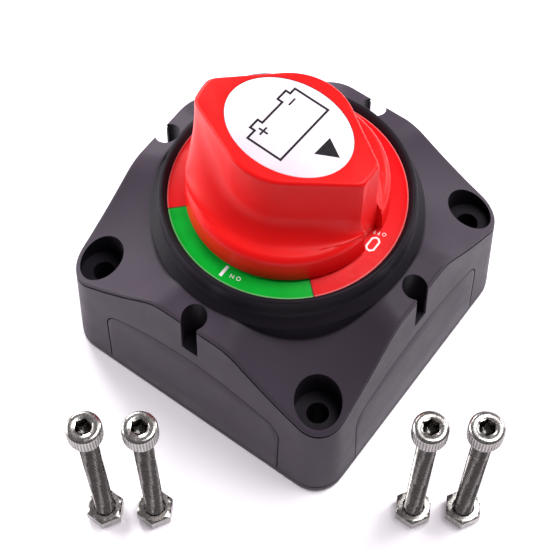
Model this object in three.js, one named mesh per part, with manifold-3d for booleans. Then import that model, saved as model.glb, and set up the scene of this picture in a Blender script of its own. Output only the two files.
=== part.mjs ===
// Rotary battery isolating switch for a boat: a square moulded housing with four cable entries,
// a red key knob over an ON / OFF dial, and a rotary contact bar between two terminal studs.
// Millimetres. Origin: centre of the rear cover's outer face. +Z: out of the panel, towards the
// knob. +X: the side where the dial is marked OFF. -Y: the side where it is marked ON.
import * as THREE from "three";
import { mergeVertices } from "three/addons/utils/BufferGeometryUtils.js";
import Module from "manifold-3d";

const wasm = await Module();
wasm.setup();

// ---------------------------------------------------------------- driving dimensions
const base_side = 69; // square footprint at the mounting face
const base_corner_r = 6.6;
const wall_draft = 0.039; // each side wall leans in by this much per mm of height
const wall = 2.4; // moulded wall of the housing
const cover_thick = 2; // rear cover plate
const roof_slope = 0.28; // fall of each side's roof per mm, from the tower to the wall
const ceiling_z = 26.4; // top of the terminal chamber
const chamber_h = 16.9; // height of the rotor's round chamber above it
const deck_thick = 2.6; // between that chamber and the dial

const seat_gap = 0.1; // between two pieces that rest on each other
const fit_gap = 0.3; // around a piece that drops into its place
const turn_gap = 0.4; // between a turning piece and a fixed one

const collar_r = 25.9; // outside of the collar that guards the dial
const collar_h = 1.5; // its rim above the dial's floor
const collar_lip = 1.1; // flat width of its rim
const collar_wall = 3.4; // between the collar's outside and the rotor's chamber
const shoulder = 2; // the round tower stands out from the collar by this much
const shoulder_drop = 4.6; // and ends this far under the dial's floor
const dial_thick = 0.25;
const dial_edge_gap = 0.15;
const dial_margin = 0.7; // from its edge to the flat of the collar's rim
const foil_gap = 0.05; // under the dial and under the label
const dial_hole_r = 11.5;

const scoop_rise = 0.0165; // parabola across a corner scoop: height = rise * across^2
const scoop_slope = 0.571; // fall of the scoop's floor per mm towards the corner
const scoop_ref = 29; // distance from the centre where the floor's depth is given
const scoop_depth = 5.6; // under the tower's foot

const mount_edge = 7; // corner screw holes, from the edge of the footprint
const mount_hole_r = 2.3;
const counterbore_r = 4.8;
const counterbore_drop = 1.6; // its floor under the terminal chamber's top
const column_r = 5.9; // moulded column around each corner hole

const keyhole_r = 2.6; // joining slot in the middle of each side
const keyhole_inset = 1.9; // from the wall to the slot's round centre
const keyhole_slot = 4;
const keyhole_floor = 2.7; // its floor above the terminal chamber's top

const entry_edge = 4.9; // cable entry in each side wall, from the screw hole's axis
const entry_shoulder = 4.6; // from its side to where its arch starts
const entry_head = 1.2; // its top under the terminal chamber's top
const entry_arch = 3.2; // rise of the arch
const entry_corner = 5.5; // height of the round corner under the arch
const entry_brow = 1.2; // drop of that corner's control point
const panel_thick = 1.9;
const panel_gap = 0.15;
const flange_thick = 1.2; // lip behind each entry panel
const flange_lap = 0.8;

const carrier_margin = 3.2; // of the square plate that closes the chamber, round its screws
const carrier_corner_r = 5;
const carrier_thick = 3.5;
const carrier_disc_h = 3.2;
const case_screw_edge = 3.4; // its four screws, from the round chamber's edge
const case_screw_r = 1.15;
const case_hole_gap = 0.4; // around them in the carrier
const pilot_gap = 0.1; // and in the housing
const case_screw_head_r = 2.8;
const case_screw_head_h = 2;
const case_screw_grip = 6; // thread in the housing

const stud_r = 5; // M10
const stud_end_z = 4.5;
const stud_hole_gap = 0.15; // around it in the carrier
const stud_chamfer = 0.8;
const stud_head = 12; // square contact head
const stud_head_h = 3;
const stud_head_edge = 0.65; // from the head's corners to the chamber's edge
const head_sink = 1.4; // depth of the head in the carrier
const washer_r = 10;
const washer_h = 2;
const lock_washer_r = 9.05;
const lock_washer_h = 2.2;
const lock_washer_split = 1.6;
const nut_flats = 17; // M10 hexagon nut
const nut_h = 8;
const ring_bore_gap = 0.25; // washers and nuts around the stud

const bar_end = 1; // contact bar, its end inside the stud head's edge
const bar_w = 9;
const bar_h = 3;
const pad_w = 10; // idle pads of the bar at OFF
const pad_in = 9;
const pad_edge = 3; // from the pads to the chamber's edge

const rotor_disc_h = 3.5;
const cheek_thick = 3.4; // walls that hold the bar from both sides
const cheek_edge = 3.3; // from their ends to the rotor's edge
const neck_r = 8.7;
const neck_bore_gap = 0.3;
const shaft_r = 5;
const shaft_flat = 3.9; // from the axis to the flat of the D
const shaft_h = 14.1; // above the dial's floor
const lug_half_angle = 7; // degrees, stop lug on the rotor
const lug_clear_angle = 1.5;
const stop_angle = 26;
const turn_angle = 90;
const stop_depth = 2.1;

const spring_r = 4; // centre line of the contact spring
const spring_wire_r = 0.6;
const spring_turns = 5;
const spring_pocket_r = 5.2;
const spring_roof = 2; // over the pocket, up to the dial's floor

const oring_r = 0.72;
const oring_ring_r = 8.2;
const oring_drop = 1.3; // under the dial's floor

const knob_h = 22.4;
const dial_show = 3.6; // width of the dial that shows round the knob's skirt
const knob_taper = 1.5; // from the skirt's foot to the ends of the grip at the top
const knob_lift = 0.7; // between the dial and the skirt
const grip_r = 12.8; // round middle of the grip, seen from above
const grip_end_half = 2.8; // half width of its cut off pointer end
const grip_tail_half = 2.95; // and of its tail end
const grip_soft = 1.2; // softness of its upright corners at the top
const grip_flare = 5; // softer by so much at the shelf
const grip_draft = 0.045;
const skirt_h = 6.5;
const skirt_round = 1.6; // round of its shoulder
const shelf_rise = 0.12;
const cove_r = 5.2; // between the flank and the shelf
const tail_cove = 7; // wider by so much at the tail end
const top_round = 0.9;
const shaft_fit = 0.12;
const hub_r = 8.4;
const knob_wall = 2.6;
const knob_hollow_h = 4.1; // round hollow in the skirt
const grip_roof = 4.3; // over the hollows in the grip
const grip_hollow_near = 1.2; // from the hub
const grip_hollow_end = 3.6; // from the grip's end
const grip_hollow_half = 3;
const pointer_turn = 0.3; // degrees from the OFF mark to the pointer end's middle
const tail_turn = 8.4; // and from the opposite side to the tail end's middle
const groove_turn = 1.7;
const pointer_w = 6.2; // upright groove at the pointer end
const pointer_depth = 0.3; // at the top of the grip

const label_a = 13.43; // oval label, half axes
const label_b = 10;
const label_turn = -2.5; // degrees, the label's long axis from the OFF mark
const label_sink = 0.4;
const label_thick = 0.3;
const label_gap = 0.12;

const screw_r = 2; // M4 x 40 socket head screw
const screw_len = 40;
const screw_head_r = 3.5;
const screw_head_h = 4;
const screw_socket = 3; // across flats
const screw_socket_h = 2.2;
const screw_nut_flats = 7;
const screw_nut_h = 3.2;
const screw_nut_gap = 0.15;
const screw_end_z = 0.3; // tip of a loose screw over the surface it stands on
// Feet of the four loose screws, on the surface that the switch stands on.
const screw_feet = [
  [-1.2, -62.7],
  [7.2, -56.6],
  [50.7, -24.7],
  [59.1, -18.6],
];

// ---------------------------------------------------------------- worked out sizes
const base_half = base_side / 2;
const deck_z = ceiling_z + chamber_h + deck_thick; // floor inside the collar, under the dial
const collar_top_z = deck_z + collar_h;
const plateau_z = deck_z - shoulder_drop;
const tower_r = collar_r + shoulder;
const chamber_r = collar_r - collar_wall;
const mount_half_pitch = base_half - mount_edge;
const counterbore_z = ceiling_z - counterbore_drop;
const keyhole_floor_z = ceiling_z + keyhole_floor;
const entry_half_w = mount_half_pitch - entry_edge;
const entry_shoulder_x = entry_half_w - entry_shoulder;
const entry_top_z = ceiling_z - entry_head;
const entry_shoulder_z = entry_top_z - entry_arch;
const entry_corner_z = entry_shoulder_z - entry_corner;
const case_screw_pos = (chamber_r + case_screw_edge) / Math.SQRT2;
const carrier_half = case_screw_pos + carrier_margin;
const head_reach = Math.sqrt((chamber_r - stud_head_edge) ** 2 - (stud_head / 2) ** 2);
const stud_pos = head_reach - stud_head / 2; // each stud from the axis, along X
const bar_len = 2 * (head_reach - bar_end);
const pad_out = chamber_r - pad_edge;
const rotor_r = chamber_r - stop_depth - turn_gap - seat_gap;
const cheek_half_len = rotor_r - cheek_edge;
const shaft_top_z = deck_z + shaft_h;
const spring_pocket_z = deck_z - spring_roof;
const oring_z = deck_z - oring_drop;
const rim_z = cover_thick + seat_gap;
const plate_top_z = ceiling_z - seat_gap;
const plate_z = plate_top_z - carrier_thick;
const carrier_top_z = plate_top_z + carrier_disc_h;
const head_z = carrier_top_z - head_sink + seat_gap;
const contact_z = head_z + stud_head_h;
const bar_z = contact_z + seat_gap;
const rotor_top_z = deck_z - deck_thick - turn_gap;
const rotor_z = rotor_top_z - rotor_disc_h;
const dial_z = deck_z + foil_gap;
const dial_r = collar_r - collar_lip - dial_margin;
const knob_z = dial_z + dial_thick + knob_lift;
const knob_top_z = knob_z + knob_h;
const knob_r = dial_r - dial_show; // skirt at its foot
const knob_top_r = knob_r - knob_taper;
const shelf_z = knob_z + skirt_h;
const below = -1; // foot of the tools that cut through from under
const fine = 64; // sides of a large round, then of smaller and smaller ones
const middling = 32;
const modest = 24;
const small = 16;
const tiny = 8;
const diagonal = [45, 135, 225, 315];
const quarter = [0, 90, 180, 270];

// ---------------------------------------------------------------- tools for solids
function solid(geometry) {
  const bare = geometry.index ? geometry.clone() : mergeVertices(geometry);
  for (const name of Object.keys(bare.attributes)) {
    if (name !== "position") bare.deleteAttribute(name);
  }
  const merged = mergeVertices(bare, 1e-4);
  return new wasm.Manifold(
    new wasm.Mesh({
      numProp: 3,
      vertProperties: new Float32Array(merged.attributes.position.array),
      triVerts: new Uint32Array(merged.index.array),
    }),
  );
}

function join(first, ...others) {
  return others.reduce((a, b) => a.add(b), first);
}

function cut(first, ...tools) {
  return tools.reduce((a, b) => a.subtract(b), first);
}

function move(geometry, x, y, z) {
  return geometry.translate(x, y, z);
}

function prism(outline, z0, z1, curveSegments = 6) {
  const settings = { depth: z1 - z0, bevelEnabled: false, curveSegments };
  return solid(new THREE.ExtrudeGeometry(outline, settings).translate(0, 0, z0));
}

function rod(r, z0, z1, x = 0, y = 0, sides = middling) {
  const made = new THREE.CylinderGeometry(r, r, z1 - z0, sides).rotateX(Math.PI / 2);
  return solid(made.translate(x, y, (z0 + z1) / 2));
}

function block(x0, x1, y0, y1, z0, z1) {
  const made = new THREE.BoxGeometry(x1 - x0, y1 - y0, z1 - z0);
  return solid(move(made, (x0 + x1) / 2, (y0 + y1) / 2, (z0 + z1) / 2));
}

// A turned solid: pairs of radius and height, from the axis or closed on itself.
function turned(profile, sides = fine) {
  const points = profile.map(([r, z]) => new THREE.Vector2(r, z));
  return solid(new THREE.LatheGeometry(points, sides).rotateX(Math.PI / 2));
}

function ring(inner, outer, z0, z1, sides = fine) {
  return turned([[inner, z0], [outer, z0], [outer, z1], [inner, z1], [inner, z0]], sides);
}

function roundedOblong(half_x, half_y, r) {
  const outline = new THREE.Shape();
  const x = half_x - r;
  const y = half_y - r;
  outline.absarc(x, y, r, 0, Math.PI / 2);
  outline.absarc(-x, y, r, Math.PI / 2, Math.PI);
  outline.absarc(-x, -y, r, Math.PI, 1.5 * Math.PI);
  outline.absarc(x, -y, r, 1.5 * Math.PI, 2 * Math.PI);
  return outline;
}

function roundedSquare(half, r) {
  return roundedOblong(half, half, r);
}

function hexagon(flats) {
  const outline = new THREE.Shape();
  const r = flats / Math.sqrt(3);
  for (let i = 0; i < 6; i++) {
    const a = (i * Math.PI) / 3;
    outline[i ? "lineTo" : "moveTo"](r * Math.cos(a), r * Math.sin(a));
  }
  return outline;
}

// A sector of a ring between two angles in degrees, counted from +X towards +Y.
function sector(inner, outer, from, to, z0, z1) {
  const a = THREE.MathUtils.degToRad(from);
  const b = THREE.MathUtils.degToRad(to);
  const outline = new THREE.Shape();
  outline.absarc(0, 0, outer, a, b, false);
  outline.absarc(0, 0, inner, b, a, true);
  return prism(outline, z0, z1, 5);
}

// The drafted square body: its half side is given at the mounting face.
function draftedBlock(half, r, z0, z1) {
  const settings = { depth: z1 - z0, bevelEnabled: false, curveSegments: 6 };
  const made = new THREE.ExtrudeGeometry(roundedSquare(half, r), settings).translate(0, 0, z0);
  const p = made.attributes.position;
  for (let i = 0; i < p.count; i++) {
    const k = 1 - (wall_draft * p.getZ(i)) / half;
    p.setXY(i, p.getX(i) * k, p.getY(i) * k);
  }
  return solid(made);
}

function aroundZ(manifold, degrees) {
  return manifold.rotate([0, 0, degrees]);
}

// The same solid at each of the angles, joined to one tool.
function repeated(manifold, degrees) {
  return join(...degrees.map((angle) => aroundZ(manifold, angle)));
}

function atCorners(make, pitch) {
  const signs = [1, -1];
  return signs.flatMap((sx) => signs.map((sy) => make(sx * pitch, sy * pitch)));
}

// ---------------------------------------------------------------- materials
const finish = (color, roughness, metalness) =>
  new THREE.MeshStandardMaterial({ color, roughness, metalness });
const plastic = (color, roughness) => finish(color, roughness, 0);
const metal = (color, roughness) => finish(color, roughness, 1);
const housing_plastic = () => plastic(0x454148, 0.5);
const knob_plastic = () => plastic(0xe62323, 0.35);
const carrier_plastic = () => plastic(0x2b2a2c, 0.6);
const rotor_plastic = () => plastic(0xd8d2c4, 0.5);
const dial_foil = () => plastic(0xdc1419, 0.4);
const label_foil = () => plastic(0xf8f0f8, 0.35);
const black_rubber = () => plastic(0x181818, 0.8);
const copper = () => metal(0xb87346, 0.3);
const tinned_brass = () => metal(0xc9b27c, 0.3);
const steel = () => metal(0xb9bbbd, 0.28);
const spring_steel = () => metal(0x8f9296, 0.3);

const battery_switch = new THREE.Group();

function piece(name, manifold, material, parent = battery_switch) {
  const made = manifold.getMesh();
  const geometry = new THREE.BufferGeometry();
  const position = new THREE.BufferAttribute(new Float32Array(made.vertProperties), 3);
  geometry.setAttribute("position", position);
  geometry.setIndex(new THREE.BufferAttribute(new Uint32Array(made.triVerts), 1));
  geometry.computeVertexNormals();
  const mesh = new THREE.Mesh(geometry, material);
  mesh.name = name;
  parent.add(mesh);
  return mesh;
}

// ---------------------------------------------------------------- housing
// A corner scoop: a parabolic trough that runs out and down along one diagonal.
function scoop() {
  const half = base_half;
  const start = tower_r / 2;
  const rise = scoop_rise * half * half;
  const outline = new THREE.Shape();
  outline.moveTo(-half, rise);
  outline.quadraticCurveTo(0, -rise, half, rise);
  outline.lineTo(half, 2 * base_side);
  outline.lineTo(-half, 2 * base_side);
  const settings = { depth: 2 * base_side, bevelEnabled: false, curveSegments: 16 };
  const along = new THREE.Vector3(1, 0, -scoop_slope);
  const across = new THREE.Vector3(0, 1, 0);
  const up = new THREE.Vector3(0, 0, 1);
  const place = new THREE.Matrix4().makeBasis(across, up, along);
  const start_z = plateau_z - scoop_depth + scoop_slope * (scoop_ref - start);
  place.setPosition(start, 0, start_z);
  return solid(new THREE.ExtrudeGeometry(outline, settings).applyMatrix4(place));
}

// The air over the sloping roof of the +X side.
function roof() {
  const far = base_side;
  const outline = new THREE.Shape();
  outline.moveTo(tower_r, plateau_z);
  outline.lineTo(far, plateau_z - roof_slope * (far - tower_r));
  outline.lineTo(far, far);
  outline.lineTo(tower_r, far);
  const settings = { depth: 2 * far, bevelEnabled: false };
  const made = new THREE.ExtrudeGeometry(outline, settings).translate(0, 0, -far);
  return solid(made.rotateX(Math.PI / 2));
}

// The blind joining slot of one side, on the +X wall.
function keyhole() {
  const centre = base_half - wall_draft * plateau_z - keyhole_inset;
  const top = plateau_z + 1;
  const hole = rod(keyhole_r, keyhole_floor_z, top, centre, 0, modest);
  const half = keyhole_slot / 2;
  return join(hole, block(centre, base_half + 1, -half, half, keyhole_floor_z, top));
}

// The outline of a cable entry: upright sides, round shoulders and a low arch.
function entryOutline(grow, foot_z) {
  const w = entry_half_w + grow;
  const sx = entry_shoulder_x + grow / 2;
  const sz = entry_shoulder_z + grow;
  const top = entry_top_z + grow;
  const outline = new THREE.Shape();
  outline.moveTo(-w, foot_z);
  outline.lineTo(w, foot_z);
  outline.lineTo(w, entry_corner_z);
  outline.quadraticCurveTo(w, sz - entry_brow, sx, sz);
  outline.quadraticCurveTo(sx / 2, top, 0, top);
  outline.quadraticCurveTo(-sx / 2, top, -sx, sz);
  outline.quadraticCurveTo(-w, sz - entry_brow, -w, entry_corner_z);
  return outline;
}

// The entry as a solid that runs through the +X wall.
function entry(grow, foot_z, inner_x) {
  const settings = { depth: base_half + 1 - inner_x, bevelEnabled: false, curveSegments: 4 };
  const made = new THREE.ExtrudeGeometry(entryOutline(grow, foot_z), settings);
  const place = new THREE.Matrix4().makeBasis(
    new THREE.Vector3(0, 1, 0),
    new THREE.Vector3(0, 0, 1),
    new THREE.Vector3(1, 0, 0),
  );
  place.setPosition(inner_x, 0, 0);
  return solid(made.applyMatrix4(place));
}

const inner_half = base_half - wall;
const inner_corner_r = base_corner_r - wall;
const cornerColumns = (grow) => {
  const make = (x, y) => rod(column_r + grow, below, ceiling_z + 1, x, y, modest);
  return atCorners(make, mount_half_pitch);
};
const terminal_chamber = cut(
  draftedBlock(inner_half, inner_corner_r, below, ceiling_z),
  ...cornerColumns(0),
);
const collar = turned([
  [0, ceiling_z],
  [tower_r, ceiling_z],
  [tower_r, plateau_z - 0.3],
  [tower_r - 0.3, plateau_z],
  [collar_r + 0.6, plateau_z + 1],
  [collar_r + 0.1, plateau_z + 1.8],
  [collar_r, collar_top_z - 0.4],
  [collar_r - 0.4, collar_top_z],
  [collar_r - collar_lip, collar_top_z],
  [dial_r + dial_edge_gap, deck_z + 0.5],
  [dial_r + dial_edge_gap, deck_z],
  [0, deck_z],
]);
const body_shell = cut(
  draftedBlock(base_half, base_corner_r, rim_z, plateau_z),
  repeated(scoop(), diagonal),
  repeated(roof(), quarter),
);
const rotor_chamber = rod(chamber_r, ceiling_z - 1, deck_z - deck_thick, 0, 0, fine);
const neck_bore = rod(neck_r + neck_bore_gap, ceiling_z, deck_z + 1, 0, 0, middling);
const corner_holes = atCorners((x, y) => {
  const bore = rod(mount_hole_r, below, collar_top_z, x, y, small);
  return join(bore, rod(counterbore_r, counterbore_z, collar_top_z, x, y));
}, mount_half_pitch);
const pilot_top = ceiling_z + case_screw_grip + 1;
const pilot_holes = atCorners(
  (x, y) => rod(case_screw_r + pilot_gap, ceiling_z - 1, pilot_top, x, y, tiny),
  case_screw_pos,
);
// Two stops in the rotor chamber: the rotor's lug turns from one to the other.
const lug_middle = 180;
const stop_from = lug_middle + lug_half_angle + lug_clear_angle;
const stop_to = lug_middle - turn_angle - lug_half_angle - lug_clear_angle;
const stop_z = rotor_z - 1;
const stop_top = deck_z - deck_thick + 0.1;
const stops = [
  sector(chamber_r - stop_depth, chamber_r + 0.2, stop_from, stop_from + stop_angle, stop_z, stop_top),
  sector(chamber_r - stop_depth, chamber_r + 0.2, stop_to - stop_angle, stop_to, stop_z, stop_top),
];
const housing = join(
  cut(
    join(body_shell, collar),
    terminal_chamber,
    rotor_chamber,
    neck_bore,
    ...corner_holes,
    ...pilot_holes,
    repeated(keyhole(), quarter),
    repeated(entry(0, below, inner_half - 2), quarter),
  ),
  ...stops,
);
piece("housing", housing, housing_plastic());

// ---------------------------------------------------------------- cable entry panels
// Each panel fills one entry flush with the drafted wall and has a lip behind the wall.
const wall_skin = cut(
  draftedBlock(base_half, base_corner_r, rim_z, ceiling_z),
  draftedBlock(base_half - panel_thick, inner_corner_r, below, ceiling_z + 1),
);
const lip_outer = inner_half - seat_gap;
const lip_skin = cut(
  draftedBlock(lip_outer, inner_corner_r, rim_z, ceiling_z),
  draftedBlock(lip_outer - flange_thick, inner_corner_r, below, ceiling_z + 1),
);
const lip_half = entry_half_w + flange_lap;
const lip_blank = block(0, base_side, -lip_half, lip_half, rim_z, ceiling_z - fit_gap);
const panel_depth = base_half - wall_draft * ceiling_z;
const skin_blank = entry(-panel_gap, rim_z, panel_depth - wall - 0.6);
const column_room = cornerColumns(fit_gap);
const neck_of_panel = entry(-panel_gap, rim_z, lip_outer - flange_thick)
  .intersect(draftedBlock(base_half - panel_thick + 0.05, inner_corner_r, rim_z, ceiling_z));
const behind_wall = draftedBlock(lip_outer - 0.05, inner_corner_r, below, ceiling_z + 1);
const panel_solid = cut(
  join(
    wall_skin.intersect(skin_blank),
    lip_skin.intersect(lip_blank),
    cut(neck_of_panel, behind_wall),
  ),
  ...column_room,
);
const panel_sides = ["right", "back", "left", "front"];
panel_sides.forEach((side, i) => {
  piece("entry_panel_" + side, aroundZ(panel_solid, quarter[i]), housing_plastic());
});

// ---------------------------------------------------------------- rear cover
const cover_rib_out = lip_outer - flange_thick - fit_gap - wall_draft * cover_thick - 0.4;
const cover_rib_h = 2.5;
const rib_corner_r = 2;
const cover_rib = cut(
  prism(roundedSquare(cover_rib_out, rib_corner_r), cover_thick - 0.5, cover_thick + cover_rib_h, 4),
  prism(roundedSquare(cover_rib_out - flange_thick, rib_corner_r), below, base_side, 4),
  ...column_room,
);
const rear_cover = cut(
  join(draftedBlock(base_half, base_corner_r, 0, cover_thick), cover_rib),
  ...atCorners((x, y) => rod(mount_hole_r, below, base_side, x, y, small), mount_half_pitch),
);
piece("rear_cover", rear_cover, housing_plastic());

// ---------------------------------------------------------------- contact carrier
const sides_x = [1, -1];
const idle_pads = quarter.slice(0, 2).map((turn) => {
  const blank = block(-pad_w / 2, pad_w / 2, pad_in, pad_out, carrier_top_z - 0.5, contact_z);
  return aroundZ(blank, 2 * turn);
});
const head_room = (x) => {
  const outline = roundedSquare(stud_head / 2 + fit_gap / 2, 1.5);
  return prism(outline, carrier_top_z - head_sink, carrier_top_z + 1, 4).translate([x, 0, 0]);
};
const carrier = cut(
  join(
    prism(roundedSquare(carrier_half, carrier_corner_r), plate_z, plate_top_z, 5),
    rod(chamber_r - fit_gap, plate_z, carrier_top_z, 0, 0, fine),
    ...idle_pads,
  ),
  ...sides_x.map((sx) => rod(stud_r + stud_hole_gap, below, base_side, sx * stud_pos, 0, modest)),
  ...sides_x.map((sx) => head_room(sx * stud_pos)),
  ...atCorners(
    (x, y) => rod(case_screw_r + case_hole_gap, below, base_side, x, y, small),
    case_screw_pos,
  ),
);
piece("contact_carrier", carrier, carrier_plastic());

// ---------------------------------------------------------------- carrier screws
const case_screw_names = [
  "carrier_screw_back_right",
  "carrier_screw_front_right",
  "carrier_screw_back_left",
  "carrier_screw_front_left",
];
const case_screw = (x, y) => {
  const top = plate_z - seat_gap;
  const foot = top - case_screw_head_h;
  const slot = 0.5;
  const reach = case_screw_head_r * 0.55;
  return cut(
    join(
      rod(case_screw_head_r, foot, top, x, y, small),
      rod(case_screw_r, top - 0.1, ceiling_z + case_screw_grip, x, y, tiny),
    ),
    block(x - reach, x + reach, y - slot, y + slot, foot - 1, foot + 1),
    block(x - slot, x + slot, y - reach, y + reach, foot - 1, foot + 1),
  );
};
atCorners(case_screw, case_screw_pos).forEach((made, i) => {
  piece(case_screw_names[i], made, steel());
});

// ---------------------------------------------------------------- terminal studs
const ring_bore = stud_r + ring_bore_gap;
const washer_top = plate_z - seat_gap;
const lock_top = washer_top - washer_h - seat_gap;
const nut_top = lock_top - lock_washer_h - seat_gap;
const stud_shank = [
  [0, stud_end_z],
  [stud_r - stud_chamfer, stud_end_z],
  [stud_r, stud_end_z + stud_chamfer],
  [stud_r, head_z + 0.1],
  [0, head_z + 0.1],
];
const stud_blank = join(
  prism(roundedSquare(stud_head / 2, 1.2), head_z, contact_z, 4),
  turned(stud_shank, modest),
);
const lock_washer_blank = cut(
  ring(ring_bore, lock_washer_r, lock_top - lock_washer_h, lock_top, modest),
  block(0, washer_r + 1, -lock_washer_split / 2, lock_washer_split / 2, below, base_side),
);
const nut_blank = cut(
  prism(hexagon(nut_flats), nut_top - nut_h, nut_top),
  rod(ring_bore, below, base_side, 0, 0, modest),
);
const stud_sides = { right: stud_pos, left: -stud_pos };
for (const [side, x] of Object.entries(stud_sides)) {
  const at = [x, 0, 0];
  piece("terminal_stud_" + side, stud_blank.translate(at), tinned_brass());
  const washer = ring(ring_bore, washer_r, washer_top - washer_h, washer_top, modest);
  piece("flat_washer_" + side, washer.translate(at), steel());
  piece("spring_washer_" + side, lock_washer_blank.translate(at), spring_steel());
  piece("terminal_nut_" + side, nut_blank.translate(at), steel());
}

// ---------------------------------------------------------------- rotor and its contact
const rotor_group = new THREE.Group();
battery_switch.add(rotor_group);
const groove_half = oring_r + 0.15;
const groove_r = oring_ring_r - oring_r - 0.05;
const rotor_turned = turned([
  [0, rotor_z],
  [rotor_r, rotor_z],
  [rotor_r, rotor_top_z],
  [neck_r, rotor_top_z],
  [neck_r, oring_z - groove_half],
  [groove_r, oring_z - groove_half],
  [groove_r, oring_z + groove_half],
  [neck_r, oring_z + groove_half],
  [neck_r, deck_z + 0.4],
  [shaft_r, deck_z + 0.4],
  [shaft_r, shaft_top_z - 0.5],
  [shaft_r - 0.5, shaft_top_z],
  [0, shaft_top_z],
], middling);
const cheek_x = bar_w / 2 + fit_gap;
const cheek_z = contact_z + 1;
const cheeks = sides_x.map((sx) => {
  const near = sx * cheek_x;
  const far = sx * (cheek_x + cheek_thick);
  const [x0, x1] = sx > 0 ? [near, far] : [far, near];
  return block(x0, x1, -cheek_half_len, cheek_half_len, cheek_z, rotor_z + 0.5);
});
const lug_from = lug_middle - lug_half_angle;
const lug_to = lug_middle + lug_half_angle;
const lug = sector(rotor_r - 1, chamber_r - turn_gap, lug_from, lug_to, rotor_z, rotor_top_z);
const rotor = cut(
  join(rotor_turned, lug, ...cheeks),
  rod(spring_pocket_r, rotor_z - 1, spring_pocket_z, 0, 0, small),
  block(-2 * shaft_r, -shaft_flat, -2 * shaft_r, 2 * shaft_r, deck_z + 0.4, base_side),
);
piece("rotor", rotor, rotor_plastic(), rotor_group);

const bar_end_r = 2;
const bar_outline = roundedOblong(bar_w / 2, bar_len / 2, bar_end_r);
piece("contact_bar", prism(bar_outline, bar_z, bar_z + bar_h, 4), copper(), rotor_group);

// The contact spring: a round wire along a helix between the bar and the rotor.
class Helix extends THREE.Curve {
  constructor(r, turns, z0, z1) {
    super();
    Object.assign(this, { r, turns, z0, z1 });
  }
  getPoint(t, target = new THREE.Vector3()) {
    const a = 2 * Math.PI * this.turns * t;
    return target.set(this.r * Math.cos(a), this.r * Math.sin(a), this.z0 + (this.z1 - this.z0) * t);
  }
}
const wire = new THREE.Shape();
wire.absarc(0, 0, spring_wire_r, 0, 2 * Math.PI);
const spring_foot = bar_z + bar_h + seat_gap + spring_wire_r;
const spring_head = spring_pocket_z - seat_gap - spring_wire_r;
const spring_line = new Helix(spring_r, spring_turns, spring_foot, spring_head);
const spring_settings = {
  steps: spring_turns * 11,
  bevelEnabled: false,
  curveSegments: 3,
  extrudePath: spring_line,
};
const contact_spring = solid(new THREE.ExtrudeGeometry(wire, spring_settings));
piece("contact_spring", contact_spring, spring_steel(), rotor_group);

const oring_profile = [];
for (let i = 0; i <= 8; i++) {
  const a = (2 * Math.PI * i) / 8;
  oring_profile.push([oring_ring_r + oring_r * Math.cos(a), oring_z + oring_r * Math.sin(a)]);
}
piece("shaft_seal", turned(oring_profile, middling), black_rubber(), rotor_group);

// ---------------------------------------------------------------- dial
const dial = ring(dial_hole_r, dial_r, dial_z, dial_z + dial_thick);
piece("dial", dial, dial_foil());

// ---------------------------------------------------------------- knob
// Plan of the grip: a round middle with straight flanks that run to two cut off ends.
// This is the distance from the axis to that plan in one direction.
function gripRadius(angle) {
  const ahead = Math.cos(angle) > 0;
  const set = THREE.MathUtils.degToRad(ahead ? pointer_turn : tail_turn);
  const x = Math.abs(Math.cos(angle - set));
  const y = Math.abs(Math.sin(angle - set));
  const end_half = ahead ? grip_end_half : grip_tail_half;
  // The flank is the tangent from the end's corner to the round middle.
  const tangent = Math.asin(end_half / knob_top_r) + Math.acos(grip_r / knob_top_r);
  if (Math.atan2(y, x) > tangent) return grip_r;
  return grip_r / Math.cos(Math.atan2(y, x) - tangent);
}

// The smaller of two radii, with a soft change from one to the other.
function softMin(a, b, soft) {
  const h = Math.max(soft - Math.abs(a - b), 0) / soft;
  return Math.min(a, b) - (h * h * soft) / 4;
}

function coneRadius(z) {
  return knob_r + ((knob_top_r - knob_r) * (z - knob_z)) / (knob_top_z - knob_z);
}

// How far the cove stands out from the flank at one height: a quarter circle, wider at the tail.
function coveStand(z, angle) {
  const back = Math.max(-Math.cos(angle - THREE.MathUtils.degToRad(tail_turn)), 0);
  const r = cove_r + tail_cove * back * back;
  const drop = r - THREE.MathUtils.clamp(z - shelf_z - shelf_rise, 0, r);
  return r - Math.sqrt(r * r - drop * drop);
}

// Levels of the knob: height, how far the flank stands out from the plan of the grip, how far the
// ends stand back from the knob's cone, and how far the skirt does where there is a skirt.
function knobLevels() {
  const free = knob_r;
  const levels = [[knob_z, free], [knob_z + 3, free], [shelf_z - skirt_round - 0.3, free]];
  const flank_foot = grip_draft * (knob_top_z - shelf_z);
  for (let k = 0; k <= 4; k++) {
    const a = (k * Math.PI) / 8;
    const shoulder_back = skirt_round * (1 - Math.cos(a));
    levels.push([shelf_z - skirt_round * (1 - Math.sin(a)), flank_foot, 0, shoulder_back]);
  }
  for (let k = 0; k <= 5; k++) {
    const a = (k * Math.PI) / 10;
    const z = shelf_z + shelf_rise + cove_r * (1 - Math.cos(a));
    levels.push([z, grip_draft * (knob_top_z - z)]);
  }
  for (const drop of [8, 5, 2.5]) levels.push([knob_top_z - drop, grip_draft * drop]);
  for (let k = 0; k <= 3; k++) {
    const a = (k * Math.PI) / 6;
    const inset = -top_round * (1 - Math.cos(a));
    levels.push([knob_top_z - top_round * (1 - Math.sin(a)), grip_draft * top_round + inset, inset]);
  }
  return levels;
}

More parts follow.
